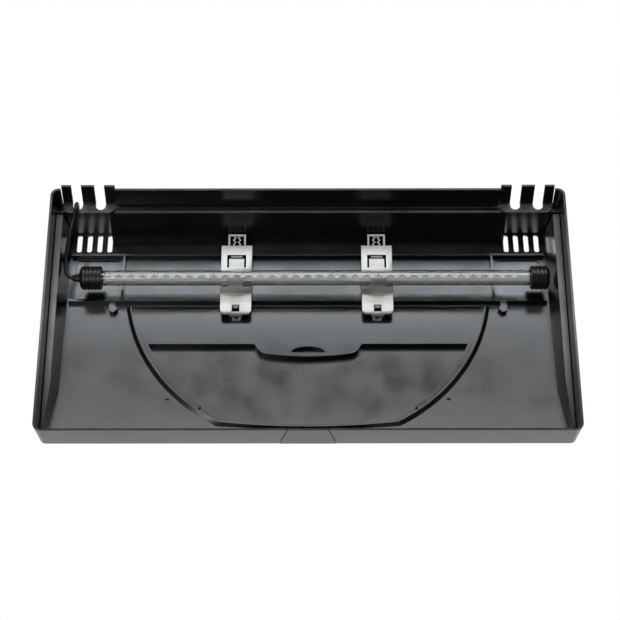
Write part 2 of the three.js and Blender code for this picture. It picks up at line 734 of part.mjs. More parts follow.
// Out of the cap, round to the comb's slot, up the rear wall and over the roof to the coil
const cableRoute = [
  [271, 57.5, 43],
  [278, 57.5, 43],
  [283.4, 60, 42.8],
  [286.8, 65.5, 42],
  [287.4, 75, 40.4],
  [286.6, 95, 35.6],
  [282.4, 115, 27.6],
  [278, 131, 19.8],
  [276.8, 140, 17.6],
  [276.4, 146, 20.4],
  [276.4, 147.8, 27],
  [277.8, 146.6, 40],
  [283, 144.8, 60],
  [285.4, 144.6, 74],
  [285.8, 141.6, 82],
  [286, 134.4, 84.6],
  [286, 124, 82.2],
  [285.4, 115, 80.6],
  [282.2, 108, 79.8],
  [275, 104.6, 79.3],
  [262, 104, 79.2],
  [240, 104, 79.2],
  [215, 106.6, 79.5],
  [192, 110.6, 80.1],
];
addPiece('cable', cordAlong(cableRoute, cableRadius, 8, 70), blackRubber());

const coilBase = 1.5;
const coilCap = coilBase + coilHeight;
const coilInner = coilMeanRadius - coilHalfWidth;
const coilOuter = coilMeanRadius + coilHalfWidth;
const coilProfile = [
  [coilInner + 2, coilBase],
  [coilOuter - 2, coilBase],
  [coilOuter, coilBase + 2],
  [coilOuter, coilCap - 2],
  [coilOuter - 2, coilCap],
  [coilInner + 2, coilCap],
  [coilInner, coilCap - 2],
  [coilInner, coilBase + 2],
  [coilInner + 2, coilBase],
].map(([r, z]) => new THREE.Vector2(r, z));
const coil = new THREE.LatheGeometry(coilProfile, 28).rotateX(Math.PI / 2);
addPiece('cable_coil', onRoof(coil.translate(coilCentre[0], alongRoof(coilCentre[1]), 0)), blackRubber());

// A band round the coil's turns, on the side away from the flap
const tieX = coilCentre[0] - coilMeanRadius;
const tieOuter = shapeOf([
  [tieX - coilHalfWidth - 1.2, coilBase - 1.2],
  [tieX + coilHalfWidth + 1.2, coilBase - 1.2],
  [tieX + coilHalfWidth + 1.2, coilCap + 1.2],
  [tieX - coilHalfWidth - 1.2, coilCap + 1.2],
]);
const tieHole = shapeOf([
  [tieX - coilHalfWidth - 0.4, coilBase - 0.4],
  [tieX - coilHalfWidth - 0.4, coilCap + 0.4],
  [tieX + coilHalfWidth + 0.8, coilCap + 0.4],
  [tieX + coilHalfWidth + 0.8, coilBase - 0.4],
]);
tieOuter.holes.push(tieHole);
const tie = slab(tieOuter, -3, 3).rotateX(Math.PI / 2).translate(0, alongRoof(coilCentre[1]), 0);
addPiece('coil_tie', onRoof(tie), blackRubber());

// The free end comes off the top turn and lies down on the roof
const tailRoute = [
  [143, 112.2, 88.8],
  [136, 112.4, 86.4],
  [129, 112.4, 82.4],
  [122, 112.4, 80.6],
  [115.9, 112.4, 80.6],
];
addPiece('cable_tail', cordAlong(tailRoute, cableRadius, 8, 12), blackRubber());

const connectorProfile = [[115.4, 0], [115.4, 3.6], [112, 4.6], [90, 4.6], [88.6, 4], [88.6, 0]];
const connectorCentre = roofTop(112.4) + 5;
const connector = new THREE.LatheGeometry(connectorProfile.reverse().map(([x, r]) => new THREE.Vector2(r, x)), 14);
connector.rotateZ(-Math.PI / 2).translate(0, 112.4, connectorCentre);
addPiece('connector_body', connector, blackRubber());
addPiece('connector_barrel', cylinderAlongX(2.7, 78.6, 88.2, 112.4, connectorCentre, 12), brightSteel());

export default hood;
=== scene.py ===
import math

import bmesh
import bpy
from mathutils import Matrix, Vector


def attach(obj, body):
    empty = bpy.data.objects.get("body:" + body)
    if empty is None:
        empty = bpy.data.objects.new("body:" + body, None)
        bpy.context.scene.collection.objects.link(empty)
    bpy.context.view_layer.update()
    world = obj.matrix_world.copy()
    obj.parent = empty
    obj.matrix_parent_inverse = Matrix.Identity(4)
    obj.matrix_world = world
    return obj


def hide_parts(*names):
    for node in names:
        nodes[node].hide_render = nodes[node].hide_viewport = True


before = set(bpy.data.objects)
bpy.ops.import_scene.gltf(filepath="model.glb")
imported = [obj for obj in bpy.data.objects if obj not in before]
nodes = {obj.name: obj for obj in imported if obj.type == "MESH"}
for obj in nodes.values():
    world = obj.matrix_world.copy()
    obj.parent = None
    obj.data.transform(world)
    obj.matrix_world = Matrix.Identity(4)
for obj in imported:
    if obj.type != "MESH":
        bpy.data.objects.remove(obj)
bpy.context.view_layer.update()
mm = 0.001  # tables are in millimetres, apart from the values noted as metres


# Camera: under the open side, a little towards the front

viewpoint = {
    "place": (-1.4, -857.1, -1696.7),
    "target": (-2.3, -6.6, 0.0),
    "lens": 96.4,
}


def makeCamera():
    data = bpy.data.cameras.new("studioCamera")
    data.lens = viewpoint["lens"]
    data.sensor_width = 36
    data.clip_start = 0.05
    data.clip_end = 50
    camera = bpy.data.objects.new("studioCamera", data)
    place = Vector(viewpoint["place"]) * mm
    look = (Vector(viewpoint["target"]) * mm - place).normalized()
    right = look.cross(Vector((0, 0, -1))).normalized()
    up = right.cross(look)
    turn = Matrix((right, up, -look)).transposed()
    camera.matrix_world = Matrix.Translation(place) @ turn.to_4x4()
    bpy.context.collection.objects.link(camera)
    bpy.context.scene.camera = camera


makeCamera()
print("camera placed")


# Shared shader effects

def newGroup(name, inputs, outputs):
    group = bpy.data.node_groups.new(name, "ShaderNodeTree")
    for label, kind, value in inputs:
        socket = group.interface.new_socket(label, in_out="INPUT", socket_type=kind)
        socket.default_value = value
    for label, kind in outputs:
        group.interface.new_socket(label, in_out="OUTPUT", socket_type=kind)
    start = group.nodes.new("NodeGroupInput")
    end = group.nodes.new("NodeGroupOutput")
    return group, start, end


def feed(tree, socket, value):
    # A link where the value comes from another node, a fixed value otherwise
    if isinstance(value, bpy.types.NodeSocket):
        tree.links.new(value, socket)
    else:
        socket.default_value = value


def mixColour(tree, factor, a, b):
    node = tree.nodes.new("ShaderNodeMix")
    node.data_type = "RGBA"
    # The colour sockets of a Mix node are numbers 6 and 7, its colour output is number 2
    for place, value in ((0, factor), (6, a), (7, b)):
        feed(tree, node.inputs[place], value)
    return node.outputs[2]


def ramped(tree, source, low, high, fromLow=0.35, fromHigh=0.65):
    node = tree.nodes.new("ShaderNodeMapRange")
    tree.links.new(source, node.inputs["Value"])
    node.inputs["From Min"].default_value = fromLow
    node.inputs["From Max"].default_value = fromHigh
    feed(tree, node.inputs["To Min"], low)
    feed(tree, node.inputs["To Max"], high)
    return node.outputs["Result"]


def noise(tree, vector, scale, detail):
    node = tree.nodes.new("ShaderNodeTexNoise")
    node.inputs["Detail"].default_value = detail
    tree.links.new(vector, node.inputs["Vector"])
    feed(tree, node.inputs["Scale"], scale)
    return node.outputs["Fac"]


skinPattern = {
    "mottleScale": 9,
    "glossScale": 26,
    "speckScale": 420,
    "speckFrom": 0.74,
    "speckTo": 0.82,
    "speckAmount": 0.15,
    "speckColour": (0.2, 0.2, 0.2, 1),
}


def makeMouldedGroup():
    # Slight flow mottling in the colour and gloss of a moulding, a fine skin, and a few pale specks
    colour = "NodeSocketColor"
    number = "NodeSocketFloat"
    group, start, end = newGroup(
        "mouldedSkin",
        [
            ("Coordinates", "NodeSocketVector", (0, 0, 0)),
            ("Deep Colour", colour, (0, 0, 0, 1)),
            ("Pale Colour", colour, (0, 0, 0, 1)),
            ("Low Roughness", number, 0.2),
            ("High Roughness", number, 0.35),
            ("Grain", number, 900.0),
        ],
        [("Colour", colour), ("Roughness", number), ("Height", number)],
    )
    where = start.outputs["Coordinates"]
    broad = noise(group, where, skinPattern["mottleScale"], 4)
    fine = noise(group, where, start.outputs["Grain"], 2)
    mottled = mixColour(
        group, ramped(group, broad, 0.0, 1.0),
        start.outputs["Deep Colour"], start.outputs["Pale Colour"],
    )
    specks = ramped(
        group, noise(group, where, skinPattern["speckScale"], 1),
        0.0, skinPattern["speckAmount"], skinPattern["speckFrom"], skinPattern["speckTo"],
    )
    speckled = mixColour(group, specks, mottled, skinPattern["speckColour"])
    group.links.new(speckled, end.inputs["Colour"])
    gloss = ramped(
        group, noise(group, where, skinPattern["glossScale"], 5),
        start.outputs["Low Roughness"], start.outputs["High Roughness"],
    )
    group.links.new(gloss, end.inputs["Roughness"])
    group.links.new(fine, end.inputs["Height"])
    return group


sheetPattern = {
    "lineScale": (30, 900, 900),
    "smudgeScale": 60,
    "dull": (0.47, 0.47, 0.465, 1),
    "bright": (0.6, 0.6, 0.59, 1),
    "metallic": 0.72,
}


def makeDrawnGroup():
    # Fine drawn lines along X, and soft smudges in the colour and gloss, for bright sheet metal
    number = "NodeSocketFloat"
    group, start, end = newGroup(
        "drawnSheet",
        [
            ("Coordinates", "NodeSocketVector", (0, 0, 0)),
            ("Low Roughness", number, 0.15),
            ("High Roughness", number, 0.3),
        ],
        [("Colour", "NodeSocketColor"), ("Roughness", number), ("Height", number)],
    )
    stretch = group.nodes.new("ShaderNodeMapping")
    stretch.inputs["Scale"].default_value = sheetPattern["lineScale"]
    group.links.new(start.outputs["Coordinates"], stretch.inputs["Vector"])
    lines = noise(group, stretch.outputs["Vector"], 1.0, 3)
    smudge = noise(group, start.outputs["Coordinates"], sheetPattern["smudgeScale"], 4)
    shade = mixColour(
        group, ramped(group, smudge, 0.0, 1.0), sheetPattern["dull"], sheetPattern["bright"],
    )
    group.links.new(shade, end.inputs["Colour"])
    gloss = ramped(group, smudge, start.outputs["Low Roughness"], start.outputs["High Roughness"])
    group.links.new(gloss, end.inputs["Roughness"])
    group.links.new(lines, end.inputs["Height"])
    return group


mouldedSkin = makeMouldedGroup()
drawnSheet = makeDrawnGroup()


def newMaterial(name):
    material = bpy.data.materials.new(name)
    material.use_nodes = True
    tree = material.node_tree
    shader = tree.nodes["Principled BSDF"]
    coordinates = tree.nodes.new("ShaderNodeTexCoord").outputs["Object"]
    return material, tree, shader, coordinates


def addBump(tree, shader, height, strength, distance):
    bump = tree.nodes.new("ShaderNodeBump")
    bump.inputs["Strength"].default_value = strength
    bump.inputs["Distance"].default_value = distance
    tree.links.new(height, bump.inputs["Height"])
    tree.links.new(bump.outputs["Normal"], shader.inputs["Normal"])


def mouldedMaterial(name, deep, pale, gloss, grain=900, relief=0.04, specular=0.5):
    material, tree, shader, coordinates = newMaterial(name)
    skin = tree.nodes.new("ShaderNodeGroup")
    skin.node_tree = mouldedSkin
    tree.links.new(coordinates, skin.inputs["Coordinates"])
    skin.inputs["Deep Colour"].default_value = (*deep, 1)
    skin.inputs["Pale Colour"].default_value = (*pale, 1)
    skin.inputs["Low Roughness"].default_value = gloss[0]
    skin.inputs["High Roughness"].default_value = gloss[1]
    skin.inputs["Grain"].default_value = grain
    tree.links.new(skin.outputs["Colour"], shader.inputs["Base Color"])
    tree.links.new(skin.outputs["Roughness"], shader.inputs["Roughness"])
    shader.inputs["Specular IOR Level"].default_value = specular
    addBump(tree, shader, skin.outputs["Height"], relief, 0.0002)
    return material


def sheetMetalMaterial(name, gloss):
    material, tree, shader, coordinates = newMaterial(name)
    skin = tree.nodes.new("ShaderNodeGroup")
    skin.node_tree = drawnSheet
    tree.links.new(coordinates, skin.inputs["Coordinates"])
    skin.inputs["Low Roughness"].default_value = gloss[0]
    skin.inputs["High Roughness"].default_value = gloss[1]
    tree.links.new(skin.outputs["Colour"], shader.inputs["Base Color"])
    tree.links.new(skin.outputs["Roughness"], shader.inputs["Roughness"])
    shader.inputs["Metallic"].default_value = sheetPattern["metallic"]
    addBump(tree, shader, skin.outputs["Height"], 0.05, 0.0001)
    return material


def clearMaterial():
    material, tree, shader, coordinates = newMaterial("clearTube")
    shader.inputs["Base Color"].default_value = (0.97, 0.98, 0.98, 1)
    shader.inputs["Transmission Weight"].default_value = 1.0
    shader.inputs["IOR"].default_value = 1.42
    haze = ramped(tree, noise(tree, coordinates, 40, 4), 0.0, 0.02)
    tree.links.new(haze, shader.inputs["Roughness"])
    return material


boardColourAndPaintedLight = {
    # Board grey painted paler than the real board: painted light in place of the light the clear tube
    # holds back
    "deep": (0.5, 0.495, 0.475),
    "pale": (0.58, 0.575, 0.555),
    # From here along Y the board turns white: a painted highlight standing in for the tube's bright line
    "bandFrom": 0.0594,  # metres, along Y
    "bandTo": 0.0597,
    "band": (0.86, 0.86, 0.85, 1),
}


def boardMaterial():
    # Grey solder mask, painted paler than its own grey as painted light, with a white strip along its
    # rear edge that is a painted highlight standing in for the tube's bright line
    material = mouldedMaterial("boardGrey", boardColourAndPaintedLight["deep"], boardColourAndPaintedLight["pale"], (0.35, 0.5))
    tree = material.node_tree
    shader = tree.nodes["Principled BSDF"]
    painted = shader.inputs["Base Color"].links[0].from_socket
    place = tree.nodes.new("ShaderNodeSeparateXYZ")
    tree.links.new(tree.nodes.new("ShaderNodeTexCoord").outputs["Object"], place.inputs[0])
    # Mask of the painted highlight along the board's rear edge
    band = ramped(tree, place.outputs["Y"], 0.0, 1.0, boardColourAndPaintedLight["bandFrom"], boardColourAndPaintedLight["bandTo"])
    banded = mixColour(tree, band, painted, boardColourAndPaintedLight["band"])
    tree.links.new(banded, shader.inputs["Base Color"])
    return material


finishes = {
    "hoodPlastic": mouldedMaterial(
        "hoodPlastic", (0.0035, 0.0038, 0.0045), (0.0065, 0.007, 0.008), (0.2, 0.27),
        relief=0.03, specular=0.75,
    ),
    "flapPlastic": mouldedMaterial(
        "flapPlastic", (0.004, 0.0043, 0.005), (0.007, 0.0075, 0.0085), (0.17, 0.24),
        relief=0.02, specular=0.75,
    ),
    "capRubber": mouldedMaterial(
        "capRubber", (0.006, 0.006, 0.007), (0.012, 0.012, 0.013), (0.3, 0.42), grain=600, relief=0.1,
    ),
    "cableJacket": mouldedMaterial(
        "cableJacket", (0.005, 0.005, 0.006), (0.01, 0.01, 0.011), (0.3, 0.42), grain=700,
    ),
    "boardGrey": boardMaterial(),
    "clipSheet": sheetMetalMaterial("clipSheet", (0.36, 0.48)),
    "clearTube": clearMaterial(),
}

# Small plain parts of the lamp: deep colour, pale colour, lowest and highest roughness
plainFinishes = {
    "carrierWhite": ((0.62, 0.62, 0.61), (0.74, 0.74, 0.73), (0.4, 0.5)),
    "ledPhosphor": ((0.9, 0.88, 0.66), (0.96, 0.94, 0.76), (0.3, 0.4)),
    "ledHousing": ((0.9, 0.9, 0.89), (0.95, 0.95, 0.94), (0.35, 0.45)),
    "chipDark": ((0.03, 0.03, 0.03), (0.05, 0.05, 0.05), (0.4, 0.5)),
    "wireYellow": ((0.72, 0.48, 0.05), (0.82, 0.56, 0.08), (0.3, 0.45)),
    "wireRed": ((0.48, 0.03, 0.02), (0.6, 0.05, 0.03), (0.3, 0.45)),
}
for finishName, (deep, pale, gloss) in plainFinishes.items():
    finishes[finishName] = mouldedMaterial(finishName, deep, pale, gloss)
print("finishes ready")


# The lamp's lead: out of the cap, through the comb, up behind the rear wall and over the roof to its coil

lead = {
    "diameter": 0.0046,  # metres
    "exit": (0.279, 0.0575, 0.043),  # metres
    "route": [
        (271, 57.5, 43),
        (278, 57.5, 43),
        (283.4, 60, 42.8),
        (286.8, 65.5, 42),
        (287.4, 75, 40.4),
        (286.6, 95, 35.6),
        (282.4, 115, 27.6),
        (278, 131, 19.8),
        (276.8, 140, 17.6),
        (276.4, 146, 20.4),
        (276.4, 147.8, 27),
        (277.8, 146.6, 40),
        (283, 144.8, 60),
        (285.4, 144.6, 74),
        (285.8, 141.6, 82),
        (286, 134.4, 84.6),
        (286, 124, 82.2),
        (285.4, 115, 80.6),
        (282.2, 108, 79.8),
        (275, 104.6, 79.3),
        (262, 104, 79.2),
        (240, 104, 79.2),
        (215, 106.6, 79.5),
        (192, 110.6, 80.1),
    ],
    "coilCentre": (165, 80),
    # Radius of each turn of the coil, and its middle above the roof
    "lanes": [
        (31.8, 3.9), (27, 3.9), (22.2, 3.9), (22.2, 8.7), (27, 8.7), (31.8, 8.7), (31.8, 13.5),
    ],
    "pointsPerTurn": 16,
    "changeFrom": 0.6,  # part of a turn after which the lead moves to the next lane
    "tail": [
        (143, 112.2, 88.8),
        (136, 112.4, 86.4),
        (129, 112.4, 82.4),
        (122, 112.4, 80.6),
        (115.9, 112.4, 80.6),
    ],
}

# Top face of the roof: its height at the front edge, where that edge is, and its slope
roof = {"height": 49.2, "front": -155, "tilt": math.radians(6)}


def onRoof(x, along, above):
    # A point given across the roof, up its slope and out of its top face
    y = roof["front"] + along * math.cos(roof["tilt"]) - above * math.sin(roof["tilt"])
    z = roof["height"] + along * math.sin(roof["tilt"]) + above * math.cos(roof["tilt"])
    return Vector((x, y, z))


def alongRoof(y):
    # Distance up the slope from the front edge to a place along Y
    return (y - roof["front"]) / math.cos(roof["tilt"])


def coilPoints():
    centreX, centreY = lead["coilCentre"]
    lanes = lead["lanes"]
    steps = lead["pointsPerTurn"]
    changeFrom = lead["changeFrom"]
    total = len(lanes) * steps
    points = []
    for i in range(total + 1):
        lane, part = divmod(i, steps)
        lane = min(lane, len(lanes) - 1)
        after = lanes[min(lane + 1, len(lanes) - 1)]
        shift = max(0.0, (part / steps - changeFrom) / (1 - changeFrom)) if i < total else 0.0
        shift = shift * shift * (3 - 2 * shift)
        radius = lanes[lane][0] + (after[0] - lanes[lane][0]) * shift
        above = lanes[lane][1] + (after[1] - lanes[lane][1]) * shift
        angle = math.pi / 2 + 2 * math.pi * i / steps
        across = centreX + radius * math.cos(angle)
        along = alongRoof(centreY) + radius * math.sin(angle)
        points.append(onRoof(across, along, above))
    return points


def makeLead():
    route = [Vector(point) for point in lead["route"]]
    tail = [Vector(point) for point in lead["tail"]]
    points = route + coilPoints() + tail
    curve = bpy.data.curves.new("lampLead", "CURVE")
    curve.dimensions = "3D"
    curve.bevel_depth = lead["diameter"] / 2
    curve.bevel_resolution = 4
    curve.resolution_u = 6
    curve.use_fill_caps = True
    spline = curve.splines.new("BEZIER")
    spline.bezier_points.add(len(points) - 1)
    for knot, point in zip(spline.bezier_points, points):
        knot.co = point * mm
        knot.handle_left_type = knot.handle_right_type = "AUTO"
    piece = bpy.data.objects.new("lampLead", curve)
    bpy.context.collection.objects.link(piece)
    curve.materials.append(finishes["cableJacket"])
    length = sum((b - a).length for a, b in zip(points, points[1:])) * mm
    print("lead length", round(length, 3))
    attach(piece, "hood")
    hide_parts("cable", "cable_coil", "cable_tail")


makeLead()


def plainMesh(piece):
    # What the object's modifiers or curve come to, as a mesh of its own
    evaluated = piece.evaluated_get(bpy.context.evaluated_depsgraph_get())
    return bpy.data.meshes.new_from_object(evaluated)


# Pieces that keep the CAD shape but get rounded edges

edgeRounding = {
    "mergeDistance": 2e-6,
    "flatWithin": 0.6,  # degrees: faces this flat to each other become one
    "bevelFrom": 32,  # degrees: only edges that turn by more are rounded
    "smoothUpTo": 50,  # degrees: faces that turn by less share their shading
}


def flatFaceNormals(mesh):
    # Each corner takes the area-weighted normal of the faces round it that turn by less than the limit
    limit = math.cos(math.radians(edgeRounding["smoothUpTo"]))
    faces = [(face.normal.copy(), face.area) for face in mesh.polygons]
    around = [[] for _ in mesh.vertices]
    for face in mesh.polygons:
        for corner in face.vertices:
            around[corner].append(faces[face.index])
    normals = []
    for face in mesh.polygons:
        own = faces[face.index][0]
        for corner in face.vertices:
            alike = (normal * area for normal, area in around[corner] if normal.dot(own) > limit)
            total = sum(alike, Vector())
            normals.append(total.normalized() if total.length > 0 else own)
    mesh.shade_smooth()
    mesh.normals_split_custom_set(normals)


def softened(name, node, body, finish, width, segments=2):
    # A copy of the CAD node with rounded edges, width in millimetres
    mesh = nodes[node].data.copy()
    mesh.name = name
    work = bmesh.new()
    work.from_mesh(mesh)
    bmesh.ops.remove_doubles(work, verts=work.verts, dist=edgeRounding["mergeDistance"])
    flat = math.radians(edgeRounding["flatWithin"])
    bmesh.ops.dissolve_limit(work, angle_limit=flat, verts=work.verts, edges=work.edges)
    work.to_mesh(mesh)
    work.free()
    mesh.materials.clear()
    mesh.materials.append(finishes[finish])
    piece = bpy.data.objects.new(name, mesh)
    bpy.context.collection.objects.link(piece)
    bevel = piece.modifiers.new("roundedEdges", "BEVEL")
    bevel.width = width * mm
    bevel.segments = segments
    bevel.limit_method = "ANGLE"
    bevel.angle_limit = math.radians(edgeRounding["bevelFrom"])
    bevel.use_clamp_overlap = True
    rounded = plainMesh(piece)
    piece.modifiers.clear()
    piece.data = rounded
    flatFaceNormals(rounded)
    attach(piece, body)
    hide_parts(node)


# Piece: CAD node, body, finish, rounding
mouldings = {
    "hoodTray": ("hood_shell", "hood", "hoodPlastic", 0.45),
    "feedingFlap": ("flap", "flap", "flapPlastic", 0.4),
    "combLeft": ("cable_comb_left", "hood", "hoodPlastic", 0.5),
    "combRight": ("cable_comb_right", "hood", "hoodPlastic", 0.5),
    "cornerCoverLeft": ("corner_cover_left", "hood", "flapPlastic", 0.5),
    "cornerCoverRight": ("corner_cover_right", "hood", "flapPlastic", 0.5),
    "sideRailLeft": ("side_rail_left", "hood", "hoodPlastic", 0.4),
    "sideRailRight": ("side_rail_right", "hood", "hoodPlastic", 0.4),
}
for pieceName, (node, body, finish, width) in mouldings.items():
    softened(pieceName, node, body, finish, width)
print("mouldings rounded")


# Moulding marks under the flap: a low bead round the pan, and ejector discs

flapMarks = {
    "beadRadius": 0.3,
    "arcRadius": 207.6,
    "arcCentre": 60,
    "angles": (-21.5, -62.0),  # degrees: where each side arc begins and ends
    "bowY": -131.5,  # front of the bow between the arcs
    "faceAbove": 0.25,
    "discRadius": 2.7,
    "discHeight": 0.5,
    "discSides": 24,
    # First disc (x, y), its height over the roof's line, the step to the next, and how many
    "rows": [((-130, -6.5), 0.2, 65, 5), ((-96, -62), 8.25, 64, 4), ((-64, -112), 8.25, 64, 3)],
    "sideSteps": 24,
    "frontSteps": 24,
}


def makePanBead():
    # Down one side arc, across the front in a shallow bow, and up the other side
    centre = alongRoof(flapMarks["arcCentre"])
    radius = flapMarks["arcRadius"]
    first, last = flapMarks["angles"]
    side = []
    for i in range(flapMarks["sideSteps"] + 1):
        angle = math.radians(first + (last - first) * i / flapMarks["sideSteps"])
        side.append((radius * math.cos(angle), centre + radius * math.sin(angle)))
    endX, endY = side[-1]
    bow = 2 * alongRoof(flapMarks["bowY"]) - endY
    front = []
    for i in range(1, flapMarks["frontSteps"]):
        t = i / flapMarks["frontSteps"]
        along = endY * ((1 - t) ** 2 + t * t) + 2 * t * (1 - t) * (bow + endY) / 2
        front.append((endX * (1 - 2 * t), along))
    outline = side + front + [(-x, y) for x, y in reversed(side)]
    curve = bpy.data.curves.new("panBead", "CURVE")
    curve.dimensions = "3D"
    curve.bevel_depth = flapMarks["beadRadius"] * mm
    curve.bevel_resolution = 2
    curve.use_fill_caps = True
    spline = curve.splines.new("POLY")
    spline.points.add(len(outline) - 1)
    for knot, (x, along) in zip(spline.points, outline):
        knot.co = (*(onRoof(x, along, flapMarks["faceAbove"]) * mm), 1)
    holder = bpy.data.objects.new("panBeadCurve", curve)
    bpy.context.collection.objects.link(holder)
    mesh = plainMesh(holder)
    bpy.data.objects.remove(holder)
    mesh.materials.clear()
    mesh.materials.append(finishes["flapPlastic"])
    mesh.shade_smooth()
    piece = bpy.data.objects.new("panBead", mesh)
    bpy.context.collection.objects.link(piece)
    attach(piece, "flap")


def repeatAlong(name, shapeType, sizes, start, step, count, finish, tilt=0.0):
    # One shape at even steps along a line. sizes: label, socket kind, the shape's own socket, value
    tree = bpy.data.node_groups.new(name + "Nodes", "GeometryNodeTree")
    line = tree.nodes.new("GeometryNodeMeshLine")
    line.mode = "OFFSET"
    shape = tree.nodes.new(shapeType)
    inputs = [(label, kind, shape.inputs[own], value) for label, kind, own, value in sizes]
    inputs += [
        ("First Place", "NodeSocketVector", line.inputs["Start Location"], list(start)),
        ("Step", "NodeSocketVector", line.inputs["Offset"], list(step)),
        ("Count", "NodeSocketInt", line.inputs["Count"], count),
    ]
    values = {}
    for label, kind, socket, value in inputs:
        made = tree.interface.new_socket(label, in_out="INPUT", socket_type=kind)
        values[made.identifier] = value
    tree.interface.new_socket("Geometry", in_out="OUTPUT", socket_type="NodeSocketGeometry")
    given = tree.nodes.new("NodeGroupInput")
    result = tree.nodes.new("NodeGroupOutput")
    for label, kind, socket, value in inputs:
        tree.links.new(given.outputs[label], socket)
    spread = tree.nodes.new("GeometryNodeInstanceOnPoints")
    spread.inputs["Rotation"].default_value = (tilt, 0, 0)
    real = tree.nodes.new("GeometryNodeRealizeInstances")
    paint = tree.nodes.new("GeometryNodeSetMaterial")
    paint.inputs["Material"].default_value = finishes[finish]
    tree.links.new(line.outputs["Mesh"], spread.inputs["Points"])
    tree.links.new(shape.outputs["Mesh"], spread.inputs["Instance"])
    tree.links.new(spread.outputs["Instances"], real.inputs["Geometry"])
    tree.links.new(real.outputs["Geometry"], paint.inputs["Geometry"])
    tree.links.new(paint.outputs["Geometry"], result.inputs["Geometry"])
    piece = bpy.data.objects.new(name, bpy.data.meshes.new(name))
    bpy.context.collection.objects.link(piece)
    modifier = piece.modifiers.new("repeat", "NODES")
    modifier.node_group = tree
    for identifier, value in values.items():
        modifier[identifier] = value
    mesh = plainMesh(piece)
    piece.modifiers.clear()
    piece.data = mesh
    return piece


def makeEjectorRow(number, first, above, step, count):
    x, y = first
    sizes = [
        ("Disc Sides", "NodeSocketInt", "Vertices", flapMarks["discSides"]),
        ("Disc Radius", "NodeSocketFloat", "Radius", flapMarks["discRadius"] * mm),
        ("Disc Height", "NodeSocketFloat", "Depth", flapMarks["discHeight"] * mm),
    ]
    row = repeatAlong(
        "ejectorRow" + str(number), "GeometryNodeMeshCylinder", sizes,
        onRoof(x, alongRoof(y), above) * mm, (step * mm, 0, 0), count, "flapPlastic", roof["tilt"],
    )
    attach(row, "flap")


makePanBead()
for number, (first, above, step, count) in enumerate(flapMarks["rows"], 1):
    makeEjectorRow(number, first, above, step, count)
print("flap marked")


# The clips: fixed straps on the hood, and front plates that spring down to let the tube out

for side in ("left", "right"):
    label = side.capitalize()
    strap, plate = "clip_base_" + side, "clip_latch_" + side
    softened("clipStrap" + label, strap, "hood", "clipSheet", 0.25, 1)
    softened("clipPlate" + label, plate, "latch_" + side, "clipSheet", 0.25, 1)
print("clips rounded")


# CAD nodes that keep their shape and get a finish

carriedOver = {
    "hinge_pin_left": "clipSheet",
    "hinge_pin_right": "clipSheet",
    "flap_bumper_left": "capRubber",
    "flap_bumper_right": "capRubber",
    "led_board": "boardGrey",
    "board_carrier": "carrierWhite",
    "lead_wire_yellow": "wireYellow",
    "lead_wire_red": "wireRed",
    "cable_boot": "capRubber",
    "coil_tie": "capRubber",
    "connector_body": "capRubber",
    "connector_barrel": "clipSheet",
}
for node, finish in carriedOver.items():
    nodes[node].data.materials.clear()
    nodes[node].data.materials.append(finishes[finish])
print("kept nodes painted")


# Turned pieces of the lamp: the clear tube and its two ribbed caps

lamp = {
    "y": 57.5,
    "z": 43,
    "sides": 72,
    "sharpFrom": 30,  # degrees
}


def turned(name, profile, finish, node):
    # profile is a list of (place along X, radius): points on the axis close the ends, and a profile
    # that stays off the axis is closed on itself
    sides = lamp["sides"]
    work = bmesh.new()
    rings = []
    for x, radius in profile:
        if radius < 1e-6:
            middle = Vector((x, lamp["y"], lamp["z"]))
            rings.append([work.verts.new(middle * mm)])
            continue
        ring = []
        for i in range(sides):
            angle = 2 * math.pi * i / sides
            y = lamp["y"] + radius * math.cos(angle)
            z = lamp["z"] + radius * math.sin(angle)
            ring.append(work.verts.new(Vector((x, y, z)) * mm))
        rings.append(ring)
    closed = len(rings[0]) > 1
    pairs = list(zip(rings, rings[1:])) + ([(rings[-1], rings[0])] if closed else [])
    for a, b in pairs:
        for i in range(sides):
            j = (i + 1) % sides
            corners = [a[i % len(a)], a[j % len(a)], b[j % len(b)], b[i % len(b)]]
            work.faces.new(list(dict.fromkeys(corners)))  # a point on the axis counts once
    bmesh.ops.recalc_face_normals(work, faces=work.faces)
    mesh = bpy.data.meshes.new(name)
    work.to_mesh(mesh)
    work.free()
    mesh.shade_smooth()
    mesh.set_sharp_from_angle(angle=math.radians(lamp["sharpFrom"]))
    mesh.materials.append(finishes[finish])
    piece = bpy.data.objects.new(name, mesh)
    bpy.context.collection.objects.link(piece)
    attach(piece, "lamp")
    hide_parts(node)


tubeProfile = [(-277, 7.8), (-277, 9), (258, 9), (258, 7.8)]
turned("clearTube", tubeProfile, "clearTube", "lamp_tube")

cap = {
    "bore": 9.3,
    "radius": 14.2,
    "groove": 1.1,
    "round": 0.35,
    # Places in one rib's pitch: foot, shoulder and crest going up, then crest and shoulder going down
    "ribPlaces": (0.26, 0.30, 0.38, 0.88, 0.96),
    "domeLength": 4,
    "domeStep": 0.6,
    "domeDrop": 7,
    "domeRings": 6,
}


